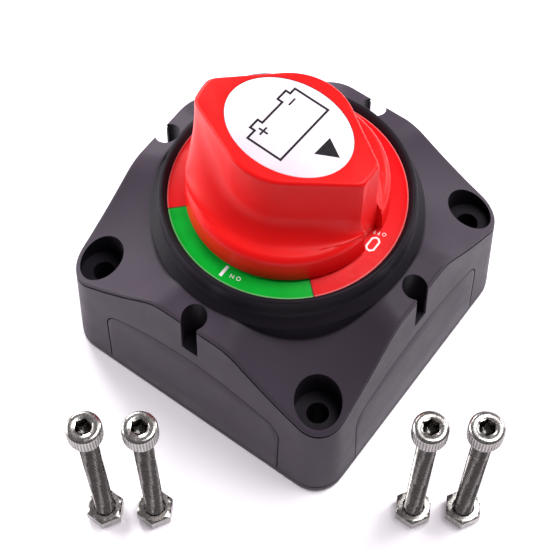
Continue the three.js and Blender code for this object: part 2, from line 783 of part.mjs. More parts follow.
// A closed skin through level outlines of equal point counts, with a flat foot and top.
function lofted(outlines) {
  const count = outlines[0].length;
  const corners = outlines.flat();
  const foot = corners.length;
  const top = foot + 1;
  corners.push(new THREE.Vector3(0, 0, outlines[0][0].z));
  corners.push(new THREE.Vector3(0, 0, outlines[outlines.length - 1][0].z));
  const faces = [];
  const last = (outlines.length - 1) * count;
  for (let i = 0; i < count; i++) {
    const j = (i + 1) % count;
    faces.push(foot, j, i, top, last + i, last + j);
    for (let level = 0; level < last; level += count) {
      faces.push(level + i, level + j, level + count + i);
      faces.push(level + j, level + count + j, level + count + i);
    }
  }
  const geometry = new THREE.BufferGeometry().setFromPoints(corners);
  return solid(geometry.setIndex(faces));
}

function knobOutline([z, stand, inset = 0, skirt_back = knob_r]) {
  const count = 60;
  const low = THREE.MathUtils.clamp((knob_top_z - 3 - z) / (knob_top_z - 3 - shelf_z), 0, 1);
  const soft = grip_soft + grip_flare * low * low;
  return Array.from({ length: count }, (_, i) => {
    const angle = (2 * Math.PI * i) / count;
    const plan = gripRadius(angle) + coveStand(z, angle) + stand;
    const grip = softMin(coneRadius(z) + inset, plan, soft);
    const r = Math.max(grip, coneRadius(z) - skirt_back);
    return new THREE.Vector3(r * Math.cos(angle), r * Math.sin(angle), z);
  });
}

const knob_group = new THREE.Group();
battery_switch.add(knob_group);
const shaft_bore = cut(
  rod(shaft_r + shaft_fit, below, shaft_top_z + 0.5),
  block(-2 * shaft_r, -shaft_flat - shaft_fit, -2 * shaft_r, 2 * shaft_r, 0, base_side),
);
const skirt_hollow = ring(hub_r, knob_r - knob_wall, below, knob_z + knob_hollow_h, middling);
const grip_hollows = sides_x.map((sx) => {
  const near = hub_r + grip_hollow_near;
  const far = knob_top_r - grip_hollow_end;
  const half = grip_hollow_half;
  const blank = block(near, far, -half, half, 0, knob_top_z - grip_roof);
  return aroundZ(blank, sx > 0 ? pointer_turn : tail_turn + 180);
});
const groove_x = knob_top_r - pointer_depth;
const groove_side = pointer_w / 2;
const groove_blank = block(groove_x, base_side, -groove_side, groove_side, 0, base_side * 2);
const pointer_groove = aroundZ(groove_blank, groove_turn);
function oval(grow, z0, z1) {
  const outline = new THREE.Shape();
  outline.absellipse(0, 0, label_a + grow, label_b + grow, 0, 2 * Math.PI);
  return aroundZ(prism(outline, z0, z1, 20), label_turn);
}
const label_bed = knob_top_z - label_sink;
const knob = cut(
  lofted(knobLevels().map(knobOutline)),
  shaft_bore,
  skirt_hollow,
  ...grip_hollows,
  pointer_groove,
  oval(label_gap, label_bed, knob_top_z + 1),
);
piece("knob", knob, knob_plastic(), knob_group);
const label_z = label_bed + foil_gap;
piece("knob_label", oval(0, label_z, label_z + label_thick), label_foil(), knob_group);

// ---------------------------------------------------------------- loose mounting screws
const screw_top_z = screw_end_z + screw_len;
const screw_blank = cut(
  join(
    rod(screw_r, screw_end_z, screw_top_z + 0.1, 0, 0, small),
    rod(screw_head_r, screw_top_z, screw_top_z + screw_head_h, 0, 0, modest),
  ),
  prism(hexagon(screw_socket), screw_top_z + screw_head_h - screw_socket_h, base_side),
);
const screw_nut_blank = cut(
  prism(hexagon(screw_nut_flats), 0, screw_nut_h),
  rod(screw_r + screw_nut_gap, below, base_side, 0, 0, small),
);
screw_feet.forEach(([x, y], i) => {
  const at = [x, y, 0];
  piece("mounting_screw_" + (i + 1), screw_blank.translate(at), steel());
  piece("mounting_nut_" + (i + 1), screw_nut_blank.translate(at), steel());
});

export default battery_switch;
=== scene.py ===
import math
from itertools import product

import bmesh
import bpy
from mathutils import Matrix, Vector


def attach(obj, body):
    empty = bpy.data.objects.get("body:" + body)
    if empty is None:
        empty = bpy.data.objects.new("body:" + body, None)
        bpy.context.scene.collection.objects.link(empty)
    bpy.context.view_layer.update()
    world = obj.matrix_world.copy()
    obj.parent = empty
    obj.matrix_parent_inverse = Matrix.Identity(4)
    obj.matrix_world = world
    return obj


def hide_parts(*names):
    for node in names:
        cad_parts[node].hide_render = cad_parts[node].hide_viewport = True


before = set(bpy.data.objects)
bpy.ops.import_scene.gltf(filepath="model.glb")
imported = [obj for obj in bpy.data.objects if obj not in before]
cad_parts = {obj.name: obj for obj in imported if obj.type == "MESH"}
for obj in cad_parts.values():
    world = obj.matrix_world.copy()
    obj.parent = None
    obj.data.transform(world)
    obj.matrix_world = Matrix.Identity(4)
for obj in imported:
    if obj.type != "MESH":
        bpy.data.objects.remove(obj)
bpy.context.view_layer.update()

# Every shape below is worked out in millimetres and brought to metres when its mesh is made.

# ---------------------------------------------------------------------------- housing
# One injection moulded shell of dark grey glass filled nylon: four drafted walls, corner scoops
# that fall to the screw holes, and a round tower whose collar guards the dial. Its open back is
# closed by a cover, and its walls have a blind joining slot and a cable entry each.
mm = 0.001
half_side = 34.5
corner_r = 6.6
draft = 0.039
wall_thick = 2.4
rim_z = 2.1
plateau_z = 41.3
roof_fall = 0.28
scoop_from = 29.0
scoop_z = 35.7
scoop_fall = 0.571
scoop_curve = 0.0165
ridge_soft = 2.2
edge_round = 0.6
tower_r = 27.9
deck_z = 45.9
chamber_z = 26.4
mount_pitch = 27.5
mount_hole_r = 2.3
counterbore_r = 4.8
counterbore_z = 24.8
column_r = 5.9
rotor_chamber_r = 22.5
rotor_chamber_top = 43.3
neck_bore_r = 9.0
slot_reach = 30.99
slot_bore_r = 2.6
slot_half = 2.0
slot_floor_z = 29.1
foot_step = 0.35
groove_depth = 0.4
above = 60


class Value:
    """An output socket that takes part in arithmetic: each operator adds its Math node."""

    def __init__(self, finish, socket):
        self.finish = finish
        self.socket = socket

    def maths(self, operation, first, second=None):
        values = {0: first} if second is None else {0: first, 1: second}
        return self.finish.node("ShaderNodeMath", {"operation": operation}, values)

    def __add__(self, other):
        return self.maths("ADD", self, other)

    def __radd__(self, other):
        return self.maths("ADD", other, self)

    def __sub__(self, other):
        return self.maths("SUBTRACT", self, other)

    def __rsub__(self, other):
        return self.maths("SUBTRACT", other, self)

    def __mul__(self, other):
        return self.maths("MULTIPLY", self, other)

    def __rmul__(self, other):
        return self.maths("MULTIPLY", other, self)

    def __gt__(self, other):
        return self.maths("GREATER_THAN", self, other)

    def __lt__(self, other):
        return self.maths("LESS_THAN", self, other)

    def __abs__(self):
        return self.maths("ABSOLUTE", self)


class Finish:
    """A surface finish: its constants sit on the shader's sockets, and its patterns are linked."""

    def __init__(self, name, **constants):
        self.material = bpy.data.materials.new(name)
        self.material.use_nodes = True
        self.tree = self.material.node_tree
        self.shader = self.tree.nodes["Principled BSDF"]
        for socket, value in constants.items():
            self.shader.inputs[socket.replace("_", " ")].default_value = value
        self.place = self.node("ShaderNodeTexCoord", out="Object")

    def node(self, kind, settings=None, values=None, out=0):
        made = self.tree.nodes.new(kind)
        for name, setting in (settings or {}).items():
            if name == "stops":
                while len(made.color_ramp.elements) < len(setting):
                    made.color_ramp.elements.new(1.0)
                for element, (position, colour) in zip(made.color_ramp.elements, setting):
                    element.position = position
                    element.color = colour
            else:
                setattr(made, name, setting)
        for name, value in (values or {}).items():
            if isinstance(value, Value):
                self.tree.links.new(value.socket, made.inputs[name])
            else:
                made.inputs[name].default_value = value
        return Value(self, made.outputs[out])

    def noise(self, scale, detail=3.0, rough=0.5, along=None):
        place = self.place
        if along:
            place = self.node("ShaderNodeMapping", None, {"Vector": place, "Scale": along})
        values = {"Vector": place, "Scale": scale, "Detail": detail, "Roughness": rough}
        return self.node("ShaderNodeTexNoise", None, values)

    def spread(self, value, low, high, to_low=0.0, to_high=1.0):
        limits = {"From Min": low, "From Max": high, "To Min": to_low, "To Max": to_high}
        return self.node("ShaderNodeMapRange", None, {"Value": value, **limits})

    def mixed(self, share, first, second):
        """One colour mixed into another: sockets 0, 6 and 7 are the colour mix's own."""
        values = {0: share, 6: first, 7: second}
        return self.node("ShaderNodeMix", {"data_type": "RGBA"}, values, out=2)

    def maths_of(self, operation, first, second=None):
        return Value(self, None).maths(operation, first, second)

    def larger(self, first, second):
        return self.maths_of("MAXIMUM", first, second)

    def smaller(self, first, second):
        return self.maths_of("MINIMUM", first, second)

    def raised(self, height, depth, strength=1.0):
        values = {"Height": height, "Distance": depth, "Strength": strength}
        return self.node("ShaderNodeBump", None, values)

    def feed(self, **links):
        for socket, value in links.items():
            self.tree.links.new(value.socket, self.shader.inputs[socket.replace("_", " ")])


def moulded(name, colour, tint, roughness, grain=0.000012, gloss=0.5, darker=None):
    """Moulded plastic: a fine spark eroded grain, faint flow clouds and a little handling sheen."""
    finish = Finish(name, Specular_IOR_Level=gloss)
    clouds = finish.noise(38.0, 3.0)
    fine = finish.noise(5200.0, 2.0, 0.6)
    rub = finish.noise(160.0, 4.0, 0.6)
    shade = finish.spread(clouds + fine * 0.25, 0.42, 0.82)
    base = finish.mixed(shade, (*colour, 1.0), (*tint, 1.0))
    if darker:
        # the darker places given, painted shade among them, are mixed toward near black
        base = finish.mixed(darker(finish), base, (0.0045, 0.0035, 0.006, 1.0))
    finish.feed(
        Base_Color=base,
        Roughness=finish.spread(rub + fine * 0.3, 0.35, 0.95, roughness - 0.06, roughness + 0.07),
        Normal=finish.raised(fine + finish.noise(1700.0, 2.0) * 0.5, grain),
    )
    return finish.material


def shaped(sides, levels):
    """A closed skin drawn up through levels: each is radius and height, or gives them by angle."""
    bm = bmesh.new()
    turn = bm.verts.layers.float.new("turn")
    ring = bmesh.ops.create_circle(bm, cap_ends=False, segments=sides, radius=1.0)["verts"]
    for v in ring:
        v[turn] = math.atan2(v.co.y, v.co.x)
    edges = list(bm.edges)
    foot = edges
    for number, level in enumerate(levels):
        if number:
            drawn = bmesh.ops.extrude_edge_only(bm, edges=edges)["geom"]
            ring = [g for g in drawn if isinstance(g, bmesh.types.BMVert)]
            edges = [g for g in drawn if isinstance(g, bmesh.types.BMEdge) and g.is_boundary]
        for v in ring:
            r, z = level(v[turn]) if callable(level) else level
            v.co = (r * math.cos(v[turn]), r * math.sin(v[turn]), z)
    for rim in (foot, edges):
        bmesh.ops.edgeloop_fill(bm, edges=rim)
    bmesh.ops.recalc_face_normals(bm, faces=bm.faces)
    return bm


def flat_outline(points, low, high, place=None):
    """A plate: an outline raised from one height to another, then put in its place."""
    bm = bmesh.new()
    face = bm.faces.new([bm.verts.new((x, y, low)) for x, y in points])
    drawn = bmesh.ops.extrude_face_region(bm, geom=[face])["geom"]
    raised = [g for g in drawn if isinstance(g, bmesh.types.BMVert)]
    bmesh.ops.translate(bm, vec=(0, 0, high - low), verts=raised)
    bmesh.ops.recalc_face_normals(bm, faces=bm.faces)
    if place:
        bmesh.ops.transform(bm, matrix=place, verts=bm.verts)
    return bm


def at_turns(make, degrees):
    """The same shape at each angle about the axis, in one mesh."""
    whole = bmesh.new()
    for angle in degrees:
        part = make()
        turned = Matrix.Rotation(math.radians(angle), 3, "Z")
        bmesh.ops.rotate(part, cent=(0, 0, 0), matrix=turned, verts=part.verts)
        spare = bpy.data.meshes.new("spare")
        part.to_mesh(spare)
        part.free()
        whole.from_mesh(spare)
        bpy.data.meshes.remove(spare)
    return whole


def loose(bm, name="tool"):
    mesh = bpy.data.meshes.new(name)
    bm.to_mesh(mesh)
    bm.free()
    made = bpy.data.objects.new(name, mesh)
    bpy.context.scene.collection.objects.link(made)
    return made


def carved(bm, *steps):
    """The shape after each step in turn: a boolean operation and the shape that does it."""
    objects = [loose(bm)]
    for operation, tool in steps:
        objects.append(loose(tool))
        cut = objects[0].modifiers.new("cut", "BOOLEAN")
        cut.operation = operation
        cut.solver = "EXACT"
        cut.object = objects[-1]
    bpy.context.view_layer.update()
    result = objects[0].evaluated_get(bpy.context.evaluated_depsgraph_get())
    out = bmesh.new()
    out.from_mesh(result.to_mesh())
    result.to_mesh_clear()
    for o in objects:
        mesh = o.data
        bpy.data.objects.remove(o)
        bpy.data.meshes.remove(mesh)
    bmesh.ops.remove_doubles(out, verts=out.verts, dist=0.001)
    return out


def eased(bm, offset, least=35.0, segments=2, only=None):
    """Rounds the sharp edges, or those of them that are asked for."""
    sharp = [e for e in bm.edges if e.is_manifold and e.calc_face_angle(0.0) > math.radians(least)]
    chosen = [e for e in sharp if only is None or only(e)]
    bmesh.ops.bevel(
        bm,
        geom=chosen,
        affect="EDGES",
        offset=offset,
        offset_type="OFFSET",
        segments=segments,
        profile=0.5,
        material=-1,
        clamp_overlap=True,
    )
    return bm


def piece_of(name, bm, material, sharp=38.0):
    """The finished object of a shape: metres, smooth faces, and hard edges where they are sharp."""
    bmesh.ops.scale(bm, vec=(mm, mm, mm), verts=bm.verts)
    made = loose(bm, name)
    made.data.polygons.foreach_set("use_smooth", [True] * len(made.data.polygons))
    made.data.set_sharp_from_angle(angle=math.radians(sharp))
    made.data.materials.append(material)
    return made


def square_r(angle, half, corner):
    """Distance from the axis to a rounded square in one direction."""
    c, s = sorted((abs(math.cos(angle)), abs(math.sin(angle))), reverse=True)
    middle = half - corner
    if half / c * s <= middle:
        return half / c
    return middle * (c + s) + math.sqrt((middle * (c + s)) ** 2 - 2 * middle**2 + corner**2)


def wall_r(angle, z):
    return square_r(angle, half_side, corner_r) * (1 - draft * z / half_side)


def soft_min(a, b, soft):
    h = max(soft - abs(a - b), 0) / soft
    return min(a, b) - h * h * soft / 4


def top_z(x, y):
    """Height of the housing's upper skin outside the tower: side roofs cut by corner scoops."""
    roof = plateau_z - roof_fall * max(max(abs(x), abs(y)) - tower_r, 0)
    out = (abs(x) + abs(y)) / math.sqrt(2)
    across = (abs(x) - abs(y)) / math.sqrt(2)
    scoop = scoop_z - scoop_fall * (out - scoop_from) + scoop_curve * across**2
    return soft_min(roof, scoop, ridge_soft)


def lip(angle):
    """Where the upper skin would meet the wall in one direction."""
    r = half_side
    for _ in range(12):
        z = top_z(r * math.cos(angle), r * math.sin(angle))
        r = wall_r(angle, z)
    return r, z


def wall_level(share):
    def at(angle):
        z = rim_z + foot_step + share * (lip(angle)[1] - edge_round - 1.1 - rim_z)
        return wall_r(angle, z), z
    return at


def lip_level(t):
    def at(angle):
        r, z = lip(angle)
        inner = r - edge_round
        inner_z = top_z(inner * math.cos(angle), inner * math.sin(angle))
        low = z - edge_round
        a, b, c = (1 - t) ** 2, 2 * t * (1 - t), t * t
        return a * wall_r(angle, low) + b * r + c * inner, a * low + b * z + c * inner_z
    return at


def groove_level(drop, depth):
    """A level of the fine line that runs round the walls under their top edge."""
    def at(angle):
        z = lip(angle)[1] - edge_round - drop
        return wall_r(angle, z) - depth, z
    return at


def roof_level(share):
    def at(angle):
        r = lip(angle)[0] - edge_round
        r += share * (tower_r - r)
        return r, top_z(r * math.cos(angle), r * math.sin(angle))
    return at


collar_profile = [
    (27.9, 41.05), (27.6, 41.3), (26.5, 42.3), (26.1, 42.75), (25.97, 43.2),
    (25.9, 44.4), (25.88, 46.8), (25.78, 47.15), (25.5, 47.38), (25.3, 47.43),
    (25.0, 47.42), (24.8, 47.3), (24.25, 46.4), (24.25, deck_z),
]
skin_levels = [lambda a: (wall_r(a, rim_z) - foot_step, rim_z)]
skin_levels += [wall_level(k / 8) for k in range(8)]
skin_levels += [groove_level(0.75, 0), groove_level(0.68, groove_depth)]
skin_levels += [groove_level(0.1, groove_depth), groove_level(0.0, 0)]
skin_levels += [lip_level(k / 5) for k in range(1, 6)]
skin_levels += [roof_level(k / 20) for k in range(1, 21)]
skin_levels += collar_profile

entry_half = 22.6
entry_arch_x = 18.0
entry_arch_z = 22.0
entry_top = 25.2
entry_corner_z = 16.5
entry_brow = 1.2
entry_from = 29
entry_to = 40


def curve(points, steps=8):
    (ax, ay), (bx, by), (cx, cy) = points
    for k in range(1, steps + 1):
        t = k / steps
        a, b, c = (1 - t) ** 2, 2 * t * (1 - t), t * t
        yield a * ax + b * bx + c * cx, a * ay + b * by + c * cy


def entry_outline(grow, foot):
    """The cable entry's arch seen from outside, wider all round by grow."""
    w, sx = entry_half + grow, entry_arch_x + grow / 2
    sz, top = entry_arch_z + grow, entry_top + grow
    right = [(w, entry_corner_z)]
    right += curve([(w, entry_corner_z), (w, sz - entry_brow), (sx, sz)])
    right += curve([(sx, sz), (sx / 2, top), (0, top)])
    left = [(-x, z) for x, z in reversed(right[:-1])]
    return [(-w, foot), (w, foot)] + right + left


upright = Matrix(((0, 0, 1, 0), (1, 0, 0, 0), (0, 1, 0, 0), (0, 0, 0, 1)))
sides = (0, 90, 180, 270)
corners = (45, 135, 225, 315)
corner_reach = mount_pitch * math.sqrt(2)


def rod(radius, low, high, x=0.0, y=0.0, steps=48):
    bm = shaped(steps, [(radius, low), (radius, high)])
    bmesh.ops.translate(bm, vec=(x, y, 0), verts=bm.verts)
    return bm


def screw_hole():
    through = [(mount_hole_r, -1), (mount_hole_r, counterbore_z)]
    bm = shaped(48, through + [(counterbore_r, counterbore_z), (counterbore_r, above)])
    bmesh.ops.translate(bm, vec=(corner_reach, 0, 0), verts=bm.verts)
    return bm


def joining_slot():
    right = [(slot_reach, -slot_half), (above, -slot_half)]
    left = [(above, slot_half), (slot_reach, slot_half)]
    return flat_outline(right + left, slot_floor_z, above)


def inner_level(z):
    def at(angle):
        inner = square_r(angle, half_side - wall_thick, corner_r - wall_thick)
        return inner * (1 - draft * z / half_side), z
    return at


def entry_hole():
    return flat_outline(entry_outline(0, -3), entry_from, entry_to, upright)


terminal_chamber = carved(
    shaped(180, [inner_level(-1), inner_level(chamber_z)]),
    ("DIFFERENCE", at_turns(lambda: rod(column_r, -2, 40, corner_reach), corners)),
)
rotor_chamber = [(rotor_chamber_r, chamber_z - 1), (rotor_chamber_r, rotor_chamber_top)]
rotor_chamber += [(neck_bore_r, rotor_chamber_top), (neck_bore_r, above)]
housing = carved(
    shaped(360, skin_levels),
    ("DIFFERENCE", terminal_chamber),
    ("DIFFERENCE", shaped(96, rotor_chamber)),
    ("DIFFERENCE", at_turns(screw_hole, corners)),
    ("DIFFERENCE", at_turns(lambda: rod(slot_bore_r, slot_floor_z, above, slot_reach), sides)),
    ("DIFFERENCE", at_turns(joining_slot, sides)),
    ("DIFFERENCE", at_turns(entry_hole, sides)),
)


def dark_tower_and_painted_shade(finish):
    """The tower darker all round; painted shade round its foot, in the slots and screw recesses."""
    axes = finish.tree.nodes.new("ShaderNodeSeparateXYZ")
    finish.tree.links.new(finish.place.socket, axes.inputs[0])
    x, y, z = (Value(finish, out) for out in axes.outputs)

    def away(dx, dy):
        return finish.maths_of("SQRT", dx * dx + dy * dy)

    just_past = 0.02 * mm
    pitch_m, reach_m, slot_low = mount_pitch * mm, slot_reach * mm, 29 * mm
    # the tower's darker band fades out over the scoops round its foot as painted shade
    tower = finish.spread(away(x, y), 28.4 * mm, tower_r * mm + just_past) * (z > 30 * mm) * 0.85
    # painted shade in the screw recesses, the joining slots and their bores
    recess = away(abs(x) - pitch_m, abs(y) - pitch_m) < counterbore_r * mm + just_past
    far, near = finish.larger(abs(x), abs(y)), finish.smaller(abs(x), abs(y))
    slot = (near < slot_half * mm + just_past) * (far > reach_m) * (z > slot_low)
    slot = slot * (far < 32.85 * mm)
    bore = (away(far - reach_m, near) < slot_bore_r * mm + just_past) * (z > slot_low)
    bore = bore * (far < 33.3 * mm)
    return finish.larger(tower, finish.larger(recess, finish.larger(slot, bore)) * 0.8)


grey_low, grey_high = (0.045, 0.035, 0.048), (0.056, 0.044, 0.060)
housing_grey = moulded(
    "housing_grey", grey_low, grey_high, 0.44, gloss=0.08, darker=dark_tower_and_painted_shade
)
switch_housing = piece_of("switch_housing", housing, housing_grey, 30)
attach(switch_housing, "root")
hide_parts("housing")

# ---------------------------------------------------------------------------- entry panels
# A break out panel of the same nylon fills each cable entry flush with the wall, so that only a
# thin line shows. A lip behind the wall holds it.
panel_gap = 0.28
panel_back = 31.2
panel_plan = entry_outline(-panel_gap, rim_z - 1)
for angle, side in zip(sides, ("right", "back", "left", "front")):
    made = carved(
        shaped(180, [lambda a, z=z: (wall_r(a, z), z) for z in (rim_z, 8, 14, 20, 26)]),
        ("INTERSECT", flat_outline(panel_plan, panel_back, entry_to, upright)),
    )
    eased(made, 0.12)
    turned = Matrix.Rotation(math.radians(angle), 3, "Z")
    bmesh.ops.rotate(made, cent=(0, 0, 0), matrix=turned, verts=made.verts)
    panel = piece_of("cable_entry_" + side, made, housing_grey, 30)
    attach(panel, "root")
    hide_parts("entry_panel_" + side)

# ---------------------------------------------------------------------------- rear cover
# A flat moulded plate of dark nylon that closes the back; its grey is set darker than the
# housing's as painted shade under the housing's foot. Its edge shows as a dark strip under a fine
# gap round the foot, and the four mounting screws pass through it.
# darker than the housing's grey: painted shade for the strip under the housing's foot
shaded_cover_grey = moulded("shaded_cover_grey", (0.030, 0.026, 0.031), (0.040, 0.036, 0.042), 0.5)
cover_edge = (
    (0, 0.5), (0.2, 0.15), (0.4, 0.05), (1.4, 0.05), (1.6, 0.15), (1.9, 0.55), (2.0, 0.6),
)
cover_levels = [(lambda a, z=z, step=step: (wall_r(a, z) - step, z)) for z, step in cover_edge]
cover = carved(
    shaped(180, cover_levels),
    ("DIFFERENCE", at_turns(lambda: rod(mount_hole_r, -1, 10, corner_reach), corners)),
)
rear_plate = piece_of("rear_plate", cover, shaded_cover_grey, 30)
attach(rear_plate, "root")
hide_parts("rear_cover")

# ---------------------------------------------------------------------------- dial
# A printed foil ring on the floor inside the collar: red, with a green quarter for the closed
# circuit, thin dark joints, and white marks that are printed on top. Its outer rim is lightened
# as a painted highlight.
dial_hole_r = 11.5
dial_r = 24.1
dial_foot = 45.95
dial_top = 46.2
dial_bevel = 0.08
dial_section = [
    (dial_hole_r, dial_foot), (dial_r - dial_bevel, dial_foot), (dial_r, 46.0), (dial_r, 46.14),
    (dial_r - dial_bevel, dial_top), (dial_hole_r, dial_top),
]
ink_low = dial_top
ink_high = 46.22


def washer_of(sides_count, profile):
    """A ring whose section is a closed line of radius and height."""
    bm = bmesh.new()
    section = [bm.verts.new((r, 0, z)) for r, z in profile]
    edges = [bm.edges.new(pair) for pair in zip(section, section[1:] + section[:1])]
    bmesh.ops.spin(
        bm,
        geom=section + edges,
        cent=(0, 0, 0),
        axis=(0, 0, 1),
        angle=math.tau,
        steps=sides_count,
        use_merge=True,
    )
    bmesh.ops.recalc_face_normals(bm, faces=bm.faces)
    return bm


foil = Finish("dial_print", Specular_IOR_Level=0.07)
axes = foil.tree.nodes.new("ShaderNodeSeparateXYZ")
foil.tree.links.new(foil.place.socket, axes.inputs[0])
x, y = Value(foil, axes.outputs[0]), Value(foil, axes.outputs[1])
side_gap = abs(x) * (0.9 + 0.1 * (x < 0.0)) + y
flat = foil.node("ShaderNodeCombineXYZ", None, {0: x, 1: y})
radius = foil.node("ShaderNodeVectorMath", {"operation": "LENGTH"}, {0: flat}, out="Value")
is_green = side_gap < 0.0
joint = abs(side_gap) < 0.00022
edge = radius > 0.02385
mottle = foil.spread(foil.noise(260.0, 3.0), 0.35, 0.7)
red = foil.mixed(mottle, (0.720, 0.006, 0.009, 1.0), (0.660, 0.005, 0.007, 1.0))
green = foil.mixed(mottle, (0.002, 0.400, 0.030, 1.0), (0.002, 0.350, 0.024, 1.0))
print_colour = foil.mixed(is_green, red, green)
# painted highlight: the outermost rim of the foil is lightened
print_colour = foil.mixed(edge * 0.16, print_colour, (0.85, 0.75, 0.75, 1.0))
print_colour = foil.mixed(joint * 0.75, print_colour, (0.03, 0.012, 0.012, 1.0))
foil.feed(
    Base_Color=print_colour,
    Roughness=foil.spread(foil.noise(900.0, 3.0), 0.3, 0.7, 0.33, 0.43),
    Normal=foil.raised(foil.noise(2600.0, 2.0), 0.000006),
)
dial_ring = piece_of("dial_ring", washer_of(240, dial_section), foil.material)
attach(dial_ring, "root")
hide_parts("dial")

ink = Finish("white_ink", Base_Color=(0.86, 0.84, 0.84, 1.0), Roughness=0.4)
ink_tone = ink.spread(ink.noise(1500.0, 3.0), 0.35, 0.65)
ink.feed(Base_Color=ink.mixed(ink_tone, (0.80, 0.78, 0.78, 1.0), (0.92, 0.91, 0.91, 1.0)))


def lettering(words, size, x, y, turn):
    """Printed letters, upright for an eye on the +Y side, as thin raised ink."""
    text = bpy.data.curves.new("words", "FONT")
    text.body = words
    text.size = size
    text.align_x = "CENTER"
    text.align_y = "CENTER"
    text.resolution_u = 3
    text.space_character = 1.6
    text.extrude = (ink_high - ink_low) / 2
    holder = bpy.data.objects.new("words", text)
    bpy.context.scene.collection.objects.link(holder)
    bpy.context.view_layer.update()
    bm = bmesh.new()
    bm.from_mesh(holder.evaluated_get(bpy.context.evaluated_depsgraph_get()).to_mesh())
    bpy.data.objects.remove(holder)
    bpy.data.curves.remove(text)
    bmesh.ops.remove_doubles(bm, verts=bm.verts, dist=1e-4)
    turned = Matrix.Rotation(math.radians(turn), 3, "Z")
    bmesh.ops.rotate(bm, cent=(0, 0, 0), matrix=turned, verts=bm.verts)
    bmesh.ops.translate(bm, vec=(x, y, (ink_low + ink_high) / 2), verts=bm.verts)
    return bm


def zero_outline(width, length, cut):
    """An upright zero: an oblong with its corners cut."""
    x, y = width / 2, length / 2
    right = [(x, -y + cut), (x, y - cut), (x - cut, y)]
    left = [(-x + cut, y), (-x, y - cut), (-x, -y + cut)]
    return right + left + [(-x + cut, -y), (x - cut, -y)]


def hollow_outline(points, thick, low, high):
    """A line of even width along a closed outline, raised from one height to another."""
    bm = bmesh.new()
    face = bm.faces.new([bm.verts.new((x, y, low)) for x, y in points])
    bm.normal_update()
    bmesh.ops.inset_region(
        bm, faces=[face], thickness=thick, use_boundary=True, use_even_offset=True
    )
    bmesh.ops.delete(bm, geom=[face], context="FACES")
    drawn = bmesh.ops.extrude_face_region(bm, geom=bm.faces[:])["geom"]
    raised = [g for g in drawn if isinstance(g, bmesh.types.BMVert)]
    bmesh.ops.translate(bm, vec=(0, 0, high - low), verts=raised)
    bmesh.ops.recalc_face_normals(bm, faces=bm.faces)
    return bm


zero = hollow_outline(zero_outline(2.05, 3.55, 0.65), 0.38, ink_low, ink_high)
bmesh.ops.translate(zero, vec=(20.42, 0.2, 0), verts=zero.verts)
stroke, tall = 0.32, 1.3
bar = [(-stroke, -tall), (stroke, -tall), (stroke, tall), (-stroke, tall)]
one = flat_outline(bar, ink_low, ink_high, Matrix.Translation((0.55, -21.8, 0)))
marks = {
    "mark_zero": zero,
    "mark_one": one,
    "word_off": lettering("OFF", 1.15, 20.15, 3.05, 199),
    "word_on": lettering("ON", 1.25, 3.2, -21.65, 192),
}
for name, bm in marks.items():
    mark = piece_of(name, bm, ink.material)
    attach(mark, "root")

# ---------------------------------------------------------------------------- knob
# The key knob, moulded in red nylon with a satin gloss: a round skirt, a grip across it with
# straight flanks, coved into the skirt, and an upright groove at the pointer end. It is pushed
# over the D shaft of the rotor and comes off as the key.
knob_foot = 46.9
knob_top = 69.3
skirt_r = 20.5
crown_r = 19.0
grip_r = 12.8
pointer_half = 2.8
tail_half = 2.95
pointer_turn = math.radians(0.3)
tail_turn = math.radians(8.4)
groove_turn = math.radians(1.7)
grip_soft = 1.2
grip_flare = 5.0
grip_draft = 0.045
shelf_z = 53.4
shelf_rise = 0.12
shelf_round = 1.6
cove_r = 5.2
tail_cove = 7.0
crown_round = 0.9
knob_sides = 288
groove_reach = 18.7
groove_half = 3.1
shaft_bore_r = 5.12
shaft_bore_flat = 4.02
shaft_bore_top = 60.5
label_long = 13.43
label_short = 9.8
label_turn = math.radians(-2.5)
wide = 30


def grip_plan(angle):
    """Distance from the axis to the grip's plan: a round middle and flanks to two blunt ends."""
    end, turn = (pointer_half, pointer_turn) if math.cos(angle) > 0 else (tail_half, tail_turn)
    x, y = abs(math.cos(angle - turn)), abs(math.sin(angle - turn))
    tangent = math.asin(end / crown_r) + math.acos(grip_r / crown_r)
    here = math.atan2(y, x)
    return grip_r if here > tangent else grip_r / math.cos(here - tangent)


def cove_stand(z, angle):
    """How far the cove stands out from the flank: a quarter circle, wider at the tail end."""
    r = cove_r + tail_cove * max(-math.cos(angle - tail_turn), 0) ** 2
    drop = r - min(max(z - shelf_z - shelf_rise, 0), r)
    return r - math.sqrt(r * r - drop * drop)


def knob_level(z, stand, inset=0.0, skirt_inset=None):
    """The grip at one height: its plan with a stand round it, kept inside the knob's cone."""
    def at(angle):
        cone = skirt_r + (crown_r - skirt_r) * (z - knob_foot) / (knob_top - knob_foot)
        low = min(max((knob_top - 3 - z) / (knob_top - 3 - shelf_z), 0), 1)
        plan = grip_plan(angle) + cove_stand(z, angle) + stand
        r = soft_min(cone + inset, plan, grip_soft + grip_flare * low * low)
        return (r if skirt_inset is None else max(r, cone - skirt_inset)), z
    return at


foot_round = 0.25
knob_levels = [knob_level(knob_foot, wide, -foot_round), knob_level(knob_foot + foot_round, wide)]
knob_levels += [knob_level(z, wide) for z in (48.5, 50, shelf_z - shelf_round - 0.3)]
foot_stand = grip_draft * (knob_top - shelf_z)
for k in range(11):
    a = k * math.pi / 20
    z = shelf_z - shelf_round * (1 - math.sin(a))
    knob_levels.append(knob_level(z, foot_stand, 0.0, shelf_round * (1 - math.cos(a))))
for k in range(13):
    a = k * math.pi / 24
    z = shelf_z + shelf_rise + cove_r * (1 - math.cos(a))
    knob_levels.append(knob_level(z, grip_draft * (knob_top - z)))
flank_heights = (59.6, 60.6, 61.8, 63, 64.2, 65.4, 66.4, 67.5)
knob_levels += [knob_level(z, grip_draft * (knob_top - z)) for z in flank_heights]
for k in range(7):
    a = k * math.pi / 12
    inset = -crown_round * (1 - math.cos(a))
    z = knob_top - crown_round * (1 - math.sin(a))
    knob_levels.append(knob_level(z, grip_draft * crown_round + inset, inset))


